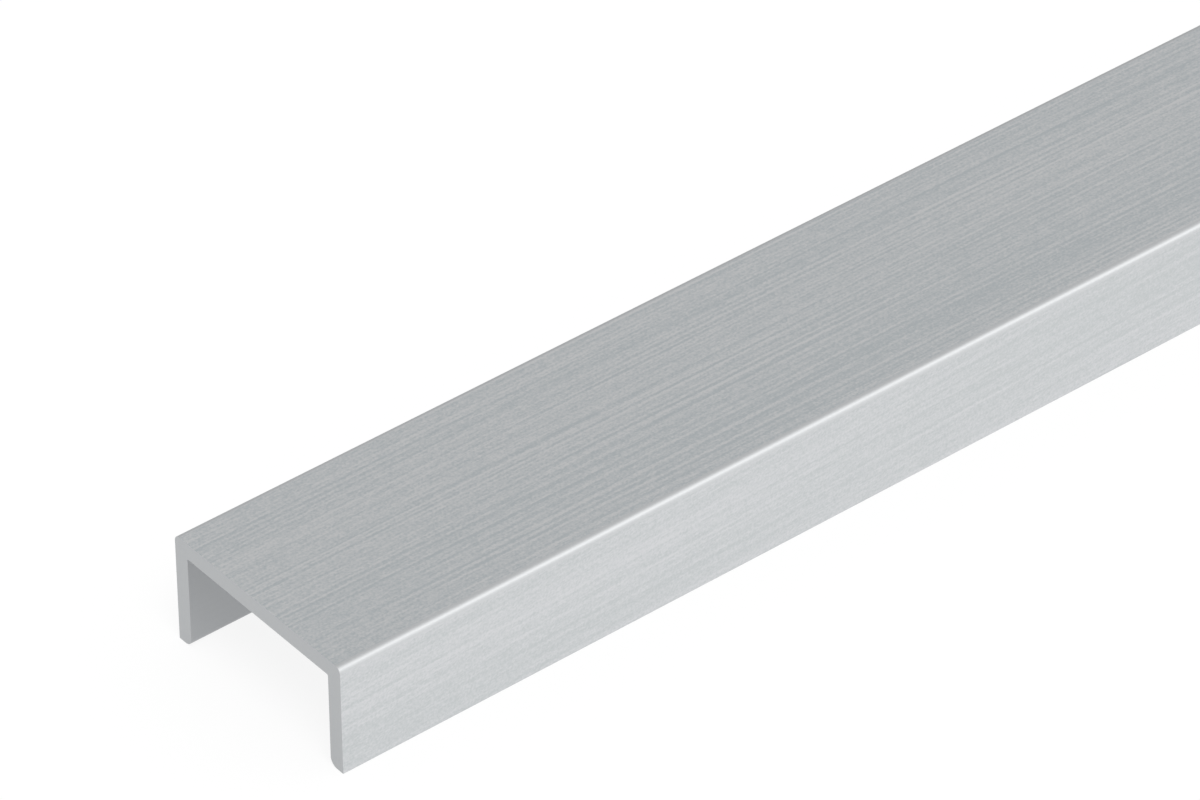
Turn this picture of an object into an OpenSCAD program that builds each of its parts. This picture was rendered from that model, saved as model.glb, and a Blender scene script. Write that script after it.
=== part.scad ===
// U-channel profile: extruded aluminium stock with a flat web and two equal legs.
// It lies with its open side down, leg tips on z = 0 and web on top, and its length runs along Y.
// All sizes are in millimetres.

/* [Section] */
// Outside width, across both legs
profile_width = 20; // [12:0.5:60]
// Outside height, from the leg tips to the top of the web
profile_height = 10; // [6:0.5:40]
// Thickness of the web
web_wall = 1.5; // [1:0.1:3]
// Thickness of each leg
leg_wall = 1.5; // [1:0.1:3]

/* [Edges] */
// Radius of the two outside corners, where the web turns into the legs
corner_radius = 0.6; // [0.2:0.05:1.5]
// Radius of the inside edge of each leg tip
lip_radius = 0.75; // [0.2:0.05:0.8]
// Radius of the outside edge of each leg tip
tip_radius = 0.05; // [0.05:0.05:0.15]
// Fillet in the two inside corners, under the web
root_radius = 0.1; // [0.1:0.05:1]

/* [Length] */
// Length that the stock is cut to
bar_length = 1000; // [100:10:3000]

/* [Hidden] */
$fn = 64;
// Half of the outside width, and half of the clear width between the legs
half_width = profile_width / 2;
half_channel = half_width - leg_wall;
// Height of the underside of the web
channel_height = profile_height - web_wall;
// How far a cut or a fillet reaches past the faces that it meets
overlap = 0.5;

// Draws its children on the right-hand side and mirrors them to the left
module both_legs() {
    children();
    mirror([1, 0]) children();
}

// Waste between a square corner at the origin and an arc that touches both of its faces.
// The arc's centre lies towards +X and +Y. Cut away it rounds an edge, added it is a fillet.
module corner_waste(radius) {
    difference() {
        translate([-overlap, -overlap]) square(radius + overlap);
        translate([radius, radius]) circle(radius);
    }
}

// The die's section, drawn with X across the profile and Y upwards
module section() {
    difference() {
        translate([-half_width, 0]) square([profile_width, profile_height]);
        translate([-half_channel, -overlap]) square([2 * half_channel, channel_height + overlap]);
        both_legs() {
            translate([half_width, profile_height]) rotate(180) corner_waste(corner_radius);
            translate([half_width, 0]) rotate(90) corner_waste(tip_radius);
            translate([half_channel, 0]) corner_waste(lip_radius);
        }
    }
    both_legs() translate([half_channel, channel_height]) rotate(180) corner_waste(root_radius);
}

// One bar of stock, sawn square at both ends
module channel_profile() {
    color("silver") rotate([90, 0, 0]) linear_extrude(height = bar_length, center = true) section();
}

channel_profile();
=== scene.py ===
import math

import bmesh
import bpy
from mathutils import Matrix, Vector


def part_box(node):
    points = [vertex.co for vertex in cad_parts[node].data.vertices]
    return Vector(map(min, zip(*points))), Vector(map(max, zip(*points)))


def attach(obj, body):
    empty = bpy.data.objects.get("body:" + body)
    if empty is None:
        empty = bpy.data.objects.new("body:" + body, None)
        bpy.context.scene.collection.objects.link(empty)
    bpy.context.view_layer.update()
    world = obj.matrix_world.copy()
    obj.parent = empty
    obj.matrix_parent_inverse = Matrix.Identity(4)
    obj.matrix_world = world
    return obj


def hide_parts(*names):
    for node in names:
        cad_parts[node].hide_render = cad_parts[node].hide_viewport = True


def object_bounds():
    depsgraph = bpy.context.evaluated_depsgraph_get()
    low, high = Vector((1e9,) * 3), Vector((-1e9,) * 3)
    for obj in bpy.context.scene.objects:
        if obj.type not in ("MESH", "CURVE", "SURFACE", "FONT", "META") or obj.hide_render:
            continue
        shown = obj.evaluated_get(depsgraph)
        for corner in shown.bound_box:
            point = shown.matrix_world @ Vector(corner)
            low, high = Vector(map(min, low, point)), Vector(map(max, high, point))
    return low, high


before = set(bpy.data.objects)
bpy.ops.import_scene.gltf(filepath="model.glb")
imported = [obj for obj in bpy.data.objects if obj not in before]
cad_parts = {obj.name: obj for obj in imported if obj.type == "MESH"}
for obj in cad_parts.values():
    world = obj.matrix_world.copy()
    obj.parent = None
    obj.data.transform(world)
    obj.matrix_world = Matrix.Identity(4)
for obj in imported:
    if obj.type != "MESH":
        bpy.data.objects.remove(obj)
cad_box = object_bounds()

# Sizes of the bar, in metres. Its width, height and length come from the frame.
MM = 0.001
NODE = "channel_profile"
WALL = 1.5 * MM
CORNER_RADIUS = 0.6 * MM
LIP_RADIUS = 0.75 * MM
TIP_RADIUS = 0.05 * MM
ROOT_RADIUS = 0.1 * MM
DEBURR = 0.015 * MM

# The bar's mesh: steps round its arcs and along it, and limits that tell its edges and faces apart
ROUND_STEPS = 14
SMALL_STEPS = 4
LENGTH_STEPS = 40
SHARP_ANGLE = math.radians(40)
NEAR = 0.01 * MM
END_FACING = 0.9

# Shares of the map for baking: the height of the long faces on it, and the size of each end
SIDES_SHARE = 0.92
ENDS_WIDTH = 0.49
ENDS_HEIGHT = 0.06

# Where the photograph was taken from: the camera looks at a point on the web near the front end
CAMERA_AZIMUTH = math.radians(51.21)
CAMERA_ELEVATION = math.radians(38.26)
CAMERA_ROLL = math.radians(-0.362)
CAMERA_DISTANCE = 587.6 * MM
CAMERA_LENS = 234.4
CAMERA_SEES_FROM = 10 * MM
CAMERA_SEES_TO = 200.0
AIM_ACROSS = -2.47 * MM
AIM_FROM_END = 34.23 * MM

# The studio: light levels are shares of white, and directions point from the bar
WHITE_IN_VIEW = 0.88
WHITE_IN_MIRROR = 0.75
FLOOR_REACH = 40.0
FLOOR_GAP = 0.05 * MM
SURROUND_LEVEL = 0.7
GLOW_LEVEL = 0.7
GLOW_FOCUS = 8.0
GLOW_DIRECTION = (0.7, 0.49, 0.51)
FLOOR_LIGHT_DIRECTION = (0.45, -0.2, 0.87)
FLOOR_LIGHT_POWER = 1.7
FLOOR_LIGHT_SPREAD = math.radians(30)

# Marks in the metal: how often each is split into finer ones, and how the brush lines lean
FINENESS = 2.0
WEB_LEAN = (0, 0, math.radians(-0.4))
LEG_LEAN = (math.radians(1.6), 0, 0)

# Grain: how it is turned, so that it follows no face, and how long a mark may be for its width
GRAIN_TURN = (0.5, 0.7, 0.4)
GRAIN_LENGTH = 2.0

# The level that noise swings about
NOISE_MIDDLE = 0.5

# The painted highlight along a rounded corner, where the colour is lighter and the roughness a little
# lower: how narrow it is, and how strong
PAINTED_HIGHLIGHT_FOCUS = 4.0
PAINTED_HIGHLIGHT_STRENGTH = 0.5

# Slots of the bar's mesh
BRUSHED_WEB, BRUSHED_EDGE, BRUSHED_LEG, MILL_AND_PAINTED_SHADE_INSIDE, SAWN_END = range(5)


def linear(hex_colour):
    """An sRGB hex colour as linear RGBA"""
    channels = [int(hex_colour[i:i + 2], 16) / 255 for i in (1, 3, 5)]
    return [c / 12.92 if c <= 0.04045 else ((c + 0.055) / 1.055) ** 2.4 for c in channels] + [1.0]


def add(tree, kind, inputs=None, **settings):
    """Adds a shader node with its settings, and sets or links each input that is given"""
    node = tree.nodes.new("ShaderNode" + kind)
    for name, value in settings.items():
        setattr(node, name, value)
    for name, value in (inputs or {}).items():
        if isinstance(value, bpy.types.NodeSocket):
            tree.links.new(value, node.inputs[name])
        else:
            node.inputs[name].default_value = value
    return node


def new_material(name):
    """An empty node material and its tree"""
    material = bpy.data.materials.new(name)
    material.use_nodes = True
    material.node_tree.nodes.clear()
    return material, material.node_tree


def layered_noise(tree, layers, lean=(0, 0, 0), across=(0, 0, 0)):
    """Sum of noises about their middle level. A layer is its marks' width and length, the step across
    from a mark's lit flank to its shaded one, or none, and its weight. With a step, a layer paints light
    on one flank of each mark and shade on the other"""
    place = add(tree, "TexCoord").outputs["Object"]
    total = NOISE_MIDDLE
    for width, length, flank, weight in layers:
        turn = lean if length > GRAIN_LENGTH * width else GRAIN_TURN
        flanks = []
        for step in (0.0, flank) if flank else (0.0,):
            spot = add(tree, "Mapping", {
                "Vector": place,
                "Location": [step * part for part in across],
                "Rotation": turn,
                "Scale": (width, length, width),
            }, vector_type="TEXTURE")
            noise = add(tree, "TexNoise", {"Vector": spot.outputs[0], "Scale": 1.0, "Detail": FINENESS})
            flanks.append(noise.outputs[0])
        # A mark with a step is one noise less the same noise moved across: painted light on its lit flank
        # and painted shade on its shaded flank
        shaded = flanks[1] if flank else NOISE_MIDDLE
        mark = add(tree, "Math", {0: flanks[0], 1: shaded}, operation="SUBTRACT")
        summed = add(tree, "Math", {0: mark.outputs[0], 1: weight, 2: total}, operation="MULTIPLY_ADD")
        total = summed.outputs[0]
    return total


def metal(tree, pattern, dark, light, roughness, bump_height, grazing="#FFFFFF"):
    """Metal whose colour and roughness follow a pattern, with the pattern as a fine relief.
    The last colour dulls it where it is seen at a grazing angle"""
    colour = add(tree, "Mix", {"Factor": pattern, 6: linear(dark), 7: linear(light)}, data_type="RGBA")
    rough = add(tree, "MapRange", {"Value": pattern, "To Min": roughness[0], "To Max": roughness[1]})
    bump = add(tree, "Bump", {"Strength": 1.0, "Distance": bump_height, "Height": pattern})
    shader = add(tree, "BsdfPrincipled", {
        "Base Color": colour.outputs[2],
        "Metallic": 1.0,
        "Specular Tint": linear(grazing),
        "Roughness": rough.outputs[0],
        "Normal": bump.outputs[0],
    })
    add(tree, "OutputMaterial", {"Surface": shader.outputs[0]})


def brushed_web():
    """Aluminium brushed with a belt and clear anodised: long fine lines, with painted light on one flank
    of a line, warmer, and painted shade on the other, cooler, under a dull satin sheen with a tight
    speckle.
    The lines are drawn as wide as the photograph shows them, which is wider than single scratches"""
    material, tree = new_material("brushed anodised web")
    layers = [
        (8 * MM, 200 * MM, 0.0, 0.6),
        (2.4 * MM, 80 * MM, 0.0, 0.4),
        (0.4 * MM, 80 * MM, 0.0, 0.8),
        # This layer paints light and shade on the two flanks of each line
        (0.27 * MM, 55 * MM, 0.26 * MM, 1.4),
        (0.2 * MM, 3 * MM, 0.0, 0.7),
        (0.18 * MM, 0.8 * MM, 0.0, 0.9),
        (0.18 * MM, 0.24 * MM, 0.0, 1.9),
    ]
    pattern = layered_noise(tree, layers, WEB_LEAN, across=(1, 0, 0))
    metal(tree, pattern, "#C2C8CB", "#DBDCDD", roughness=(0.38, 0.44), bump_height=0.002 * MM)
    return material


def painted_highlight_share(tree, half_width, top):
    """How much painted highlight a spot on a rounded corner gets: 1 in its middle, and 0 where it meets a
    face
    """
    place = add(tree, "SeparateXYZ", {0: add(tree, "TexCoord").outputs["Object"]}).outputs
    side = add(tree, "Math", {0: place["X"]}, operation="ABSOLUTE")
    out = add(tree, "Math", {0: side.outputs[0], 1: half_width - CORNER_RADIUS}, operation="SUBTRACT")
    up = add(tree, "Math", {0: place["Z"], 1: top - CORNER_RADIUS}, operation="SUBTRACT")
    area = add(tree, "Math", {0: out.outputs[0], 1: up.outputs[0]}, operation="MULTIPLY")
    largest = CORNER_RADIUS ** 2 / 2
    nearness = add(tree, "Math", {0: area.outputs[0], 1: 1 / largest}, operation="MULTIPLY")
    return add(tree, "Math", {0: nearness.outputs[0], 1: PAINTED_HIGHLIGHT_FOCUS}, operation="POWER").outputs[0]


def brushed_edge(half_width, top):
    """The rounded corners, where the belt only grazes: a smoother and more neutral satin with faint
    lines, and a painted highlight along the corner's middle, which makes the colour lighter there and the
    roughness a little lower"""
    material, tree = new_material("brushed anodised corners")
    layers = [(0.2 * MM, 60 * MM, 0.0, 0.28), (0.28 * MM, 0.28 * MM, 0.0, 0.28)]
    lines = layered_noise(tree, layers, WEB_LEAN)
    share = painted_highlight_share(tree, half_width, top)
    # The painted highlight: lighter colour along the corner's middle
    pattern_with_painted_highlight = add(tree, "Math", {0: share, 1: PAINTED_HIGHLIGHT_STRENGTH, 2: lines}, operation="MULTIPLY_ADD")
    metal(tree, pattern_with_painted_highlight.outputs[0], "#C3C5C7", "#E0E2E3", roughness=(0.4, 0.36), bump_height=0.005 * MM,
          grazing="#A4A6A8")
    return material


def brushed_legs():
    """The legs' finish, as on the web but with softer and shorter lines that lean a little"""
    material, tree = new_material("brushed anodised legs")
    layers = [
        (5.6 * MM, 120 * MM, 0.0, 1.0),
        (1.2 * MM, 80 * MM, 0.0, 0.4),
        (0.36 * MM, 50 * MM, 0.0, 1.0),
        # This layer paints light and shade on the two flanks of each line
        (0.34 * MM, 36 * MM, 0.32 * MM, 0.8),
        (0.2 * MM, 3 * MM, 0.0, 0.65),
        (0.18 * MM, 0.7 * MM, 0.0, 0.85),
        (0.17 * MM, 0.21 * MM, 0.0, 2.1),
    ]
    pattern = layered_noise(tree, layers, LEG_LEAN, across=(0, 0, 1))
    metal(tree, pattern, "#C5C9CA", "#D7D8DA", roughness=(0.38, 0.44), bump_height=0.002 * MM)
    return material


def mill_aluminium_with_painted_shade():
    """Anodised mill finish inside the channel, as it left the die: no brushing, only faint die lines,
    which are drawn wide enough to show. Its colour is darker than the brushed outside's, partly for the
    duller mill finish and partly as painted shade inside the channel"""
    material, tree = new_material("mill finish anodised aluminium with painted shade")
    layers = [(0.5 * MM, 60 * MM, 0.0, 0.9), (0.3 * MM, 0.3 * MM, 0.0, 0.7)]
    pattern = layered_noise(tree, layers)
    # Darker than the outside: the mill finish, and painted shade inside the channel
    metal(tree, pattern, "#ACAEB0", "#B2B4B6", roughness=(0.42, 0.48), bump_height=0.001 * MM)
    return material


def sawn_aluminium():
    """Bare cut face of a fine saw: dull, even grey with a tight grain, which is drawn wide enough
    to show"""
    material, tree = new_material("sawn aluminium")
    layers = [(0.3 * MM, 0.3 * MM, 0.0, 1.2), (6 * MM, 0.3 * MM, 0.0, 0.4)]
    pattern = layered_noise(tree, layers)
    metal(tree, pattern, "#B8BABC", "#BEC0C1", roughness=(0.5, 0.56), bump_height=0.001 * MM)
    return material


def mesh_from(bm, name):
    """The finished mesh of a shape, which is then freed"""
    mesh = bpy.data.meshes.new(name)
    bm.to_mesh(mesh)
    bm.free()
    return mesh


def put_in_scene(data, name):
    """A new object in the scene that shows a mesh, a lamp or a camera"""
    made = bpy.data.objects.new(name, data)
    bpy.context.scene.collection.objects.link(made)
    return made


def runs_along(edge):
    """Whether an edge runs from one end of the bar towards the other"""
    first, second = edge.verts
    return abs(first.co.y - second.co.y) > WALL


def edges_along(bm, across, height):
    """The two mirrored edges that run the bar's length at a corner of its section"""
    def at_corner(vertex):
        return abs(abs(vertex.co.x) - across) < NEAR and abs(vertex.co.z - height) < NEAR
    return [e for e in bm.edges if runs_along(e) and at_corner(e.verts[0]) and at_corner(e.verts[1])]


def bevel(bm, edges, radius, steps):
    """Rounds edges, or cuts them flat where there is one step"""
    bmesh.ops.bevel(bm, geom=edges, offset=radius, offset_type="OFFSET", segments=steps, profile=0.5,
                    affect="EDGES", material=-1)


def slot_of(face, half_width, top):
    """The slot of a face, from where it is on the section"""
    middle = face.calc_center_median()
    if abs(face.normal.y) > END_FACING:
        return SAWN_END
    if abs(middle.x) < half_width - WALL / 2 and middle.z < top - WALL / 2:
        return MILL_AND_PAINTED_SHADE_INSIDE
    if middle.z < top - CORNER_RADIUS:
        return BRUSHED_LEG
    return BRUSHED_WEB if abs(middle.x) < half_width - CORNER_RADIUS else BRUSHED_EDGE


def strip_along(loop):
    """The face corners that start each face of one strip, from the front end's edge to the far end"""
    strip = []
    corner = loop.link_loop_radial_next
    while len(corner.face.verts) == 4:
        strip.append(corner)
        corner = corner.link_loop_next.link_loop_next.link_loop_radial_next
    return strip


def lay_out(bm, low, high):
    """A map for baking: the bar's length runs across it, its section's outline up it, the ends on top"""
    layer = bm.loops.layers.uv.new("OFBake")
    end_faces = [f for f in bm.faces if len(f.verts) > 4]
    front, far = sorted(end_faces, key=lambda f: f.calc_center_median().y)
    outline = sum(edge.calc_length() for edge in front.edges)
    walked = 0.0
    for loop in front.loops:
        start, walked = walked, walked + loop.edge.calc_length()
        for corner in strip_along(loop):
            # A face's corners, in turn, are at this stretch's end, its start, its start and its end
            for reached in (walked, start, start, walked):
                across = (corner.vert.co.y - low.y) / (high.y - low.y)
                corner[layer].uv = (across, SIDES_SHARE * reached / outline)
                corner = corner.link_loop_next
    for place, end in enumerate((front, far)):
        for loop in end.loops:
            spot = loop.vert.co
            across = (spot.x - low.x) / (high.x - low.x)
            up = (spot.z - low.z) / (high.z - low.z)
            loop[layer].uv = ((place + across) * ENDS_WIDTH, 1.0 - ENDS_HEIGHT * (1.0 - up))


def channel_bar():
    """The bar itself: the U section, extruded, with its edges rounded and its sawn ends deburred"""
    low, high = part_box(NODE)
    half_width, top = high.x, high.z
    half_channel, web_under = half_width - WALL, top - WALL
    right_side = [(half_channel, web_under), (half_channel, 0), (half_width, 0), (half_width, top)]
    outline = right_side + [(-x, z) for x, z in reversed(right_side)]
    bm = bmesh.new()
    front = bm.faces.new([bm.verts.new((x, low.y, z)) for x, z in outline])
    made = bmesh.ops.extrude_face_region(bm, geom=[front])
    far = [v for v in made["geom"] if isinstance(v, bmesh.types.BMVert)]
    bmesh.ops.translate(bm, verts=far, vec=(0, high.y - low.y, 0))
    bmesh.ops.recalc_face_normals(bm, faces=bm.faces)
    bevel(bm, edges_along(bm, half_width, top), CORNER_RADIUS, ROUND_STEPS)
    bevel(bm, edges_along(bm, half_channel, 0), LIP_RADIUS, ROUND_STEPS)
    bevel(bm, edges_along(bm, half_width, 0), TIP_RADIUS, SMALL_STEPS)
    bevel(bm, edges_along(bm, half_channel, web_under), ROOT_RADIUS, SMALL_STEPS)
    ends = [f for f in bm.faces if abs(f.normal.y) > END_FACING]
    bevel(bm, list({e for f in ends for e in f.edges}), DEBURR, 1)
    long_edges = [e for e in bm.edges if runs_along(e)]
    bmesh.ops.subdivide_edges(bm, edges=long_edges, cuts=LENGTH_STEPS - 1, use_grid_fill=True)
    bm.normal_update()
    for face in bm.faces:
        face.material_index = slot_of(face, half_width, top)
    lay_out(bm, low, high)
    mesh = mesh_from(bm, "channel_bar")
    mesh.shade_smooth()
    mesh.set_sharp_from_angle(angle=SHARP_ANGLE)
    bar = put_in_scene(mesh, "channel_bar")
    flatten = bar.modifiers.new("flat faces stay flat", "WEIGHTED_NORMAL")
    flatten.keep_sharp = True
    return bar


def studio_floor():
    """A wide white floor. To the camera and in reflections it is part plain white, and the rest shaded"""
    material, tree = new_material("white studio floor")
    path = add(tree, "LightPath").outputs
    straight, through = path["Is Camera Ray"], path["Is Transmission Ray"]
    seen = add(tree, "Math", {0: straight, 1: through}, operation="MAXIMUM")
    mirrored = add(tree, "Math", {0: path["Is Glossy Ray"], 1: WHITE_IN_MIRROR}, operation="MULTIPLY")
    share = add(tree, "Math", {0: seen.outputs[0], 1: WHITE_IN_VIEW, 2: mirrored.outputs[0]},
                operation="MULTIPLY_ADD")
    matt = add(tree, "BsdfDiffuse", {"Color": linear("#F0F0F0")})
    white = add(tree, "Emission", {"Strength": 1.0})
    mixed = add(tree, "MixShader", {0: share.outputs[0], 1: matt.outputs[0], 2: white.outputs[0]})
    add(tree, "OutputMaterial", {"Surface": mixed.outputs[0]})
    material.cycles.emission_sampling = "NONE"
    bm = bmesh.new()
    bmesh.ops.create_grid(bm, x_segments=1, y_segments=1, size=FLOOR_REACH)
    bmesh.ops.translate(bm, verts=bm.verts, vec=(0, 0, -FLOOR_GAP))
    mesh = mesh_from(bm, "studio_floor")
    mesh.materials.append(material)
    floor = put_in_scene(mesh, "studio_floor")


def studio_surround():
    """An even grey room, lighter round one direction, so that a soft light runs along a rounded corner"""
    world = bpy.data.worlds.new("studio surround")
    world.use_nodes = True
    tree = world.node_tree
    tree.nodes.clear()
    towards = Vector(GLOW_DIRECTION).normalized()
    direction = add(tree, "TexCoord").outputs["Generated"]
    nearness = add(tree, "VectorMath", {0: direction, 1: towards}, operation="DOT_PRODUCT")
    facing = add(tree, "Math", {0: nearness.outputs["Value"], 1: 0.0}, operation="MAXIMUM")
    lobe = add(tree, "Math", {0: facing.outputs[0], 1: GLOW_FOCUS}, operation="POWER")
    level = add(tree, "Math", {0: lobe.outputs[0], 1: GLOW_LEVEL, 2: SURROUND_LEVEL},
                operation="MULTIPLY_ADD")
    surround = add(tree, "Background", {"Color": linear("#FFFFFF"), "Strength": level.outputs[0]})
    add(tree, "OutputWorld", {"Surface": surround.outputs[0]})
    bpy.context.scene.world = world


def floor_light():
    """A wide soft lamp from above that lights the floor. It isn't mirrored in the metal"""
    lamp = bpy.data.lights.new("floor_light", "SUN")
    lamp.energy = FLOOR_LIGHT_POWER
    lamp.angle = FLOOR_LIGHT_SPREAD
    holder = put_in_scene(lamp, "floor_light")
    holder.rotation_euler = Vector(FLOOR_LIGHT_DIRECTION).to_track_quat("Z", "Y").to_euler()
    holder.visible_glossy = False


def photo_camera(aim):
    """The camera, at the photograph's angle"""
    data = bpy.data.cameras.new("photo_camera")
    data.lens = CAMERA_LENS
    data.clip_start = CAMERA_SEES_FROM
    data.clip_end = CAMERA_SEES_TO
    camera = put_in_scene(data, "photo_camera")
    flat = math.cos(CAMERA_ELEVATION)
    sideways, forwards = math.sin(CAMERA_AZIMUTH) * flat, math.cos(CAMERA_AZIMUTH) * flat
    back = Vector((sideways, -forwards, math.sin(CAMERA_ELEVATION)))
    upright = back.to_track_quat("Z", "Y").to_matrix()
    turned = upright @ Matrix.Rotation(CAMERA_ROLL, 3, "Z")
    camera.matrix_world = Matrix.Translation(aim + back * CAMERA_DISTANCE) @ turned.to_4x4()
    bpy.context.scene.camera = camera


# The bar, with its finishes in the order of its slots
front, half_width, top = cad_box[0].y, cad_box[1].x, cad_box[1].z
bar = channel_bar()
finishes = (
    brushed_web(),
    brushed_edge(half_width, top),
    brushed_legs(),
    mill_aluminium_with_painted_shade(),
    sawn_aluminium(),
)
for finish in finishes:
    bar.data.materials.append(finish)
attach(bar, "root")
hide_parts(NODE)

# The studio round it
studio_floor()
studio_surround()
floor_light()
photo_camera(Vector((AIM_ACROSS, front + AIM_FROM_END, top)))
bpy.context.scene.view_settings.view_transform = "Standard"
